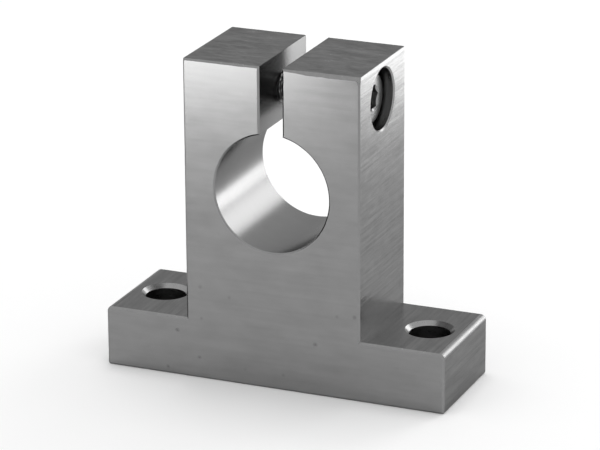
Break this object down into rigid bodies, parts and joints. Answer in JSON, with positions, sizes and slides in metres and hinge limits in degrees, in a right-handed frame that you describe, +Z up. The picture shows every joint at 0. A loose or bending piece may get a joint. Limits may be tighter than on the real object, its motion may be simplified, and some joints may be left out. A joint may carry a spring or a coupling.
{
  "type": "shaft support block",
  "caption": "Upright slotted aluminium block that clamps the end of a round shaft, with a drilled foot to screw it down and a sunk cap screw that closes the slot.",
  "frame": {"origin": "middle of the underside of the foot, halfway along the shaft bore", "axes": "+X to the side that the screw's head is on, +Y along the shaft bore, +Z up through the two clamp jaws"},
  "size_m": [0.048, 0.016, 0.044],
  "materials": {
    "machined_aluminium": "extruded and machined, fine grain along the shaft on the sides",
    "plated_steel": "bright plated"
  },
  "bodies": {
    "block": {"support_block": "machined_aluminium"},
    "screw": {"clamp_screw": "plated_steel"}
  },
  "joints": [
    {"name": "clamp_screw_turn", "type": "hinge", "parent": "block", "child": "screw", "pos_m": [0.007, 0, 0.039], "axis": [1, 0, 0], "range_deg": [0, 450]}
  ]
}
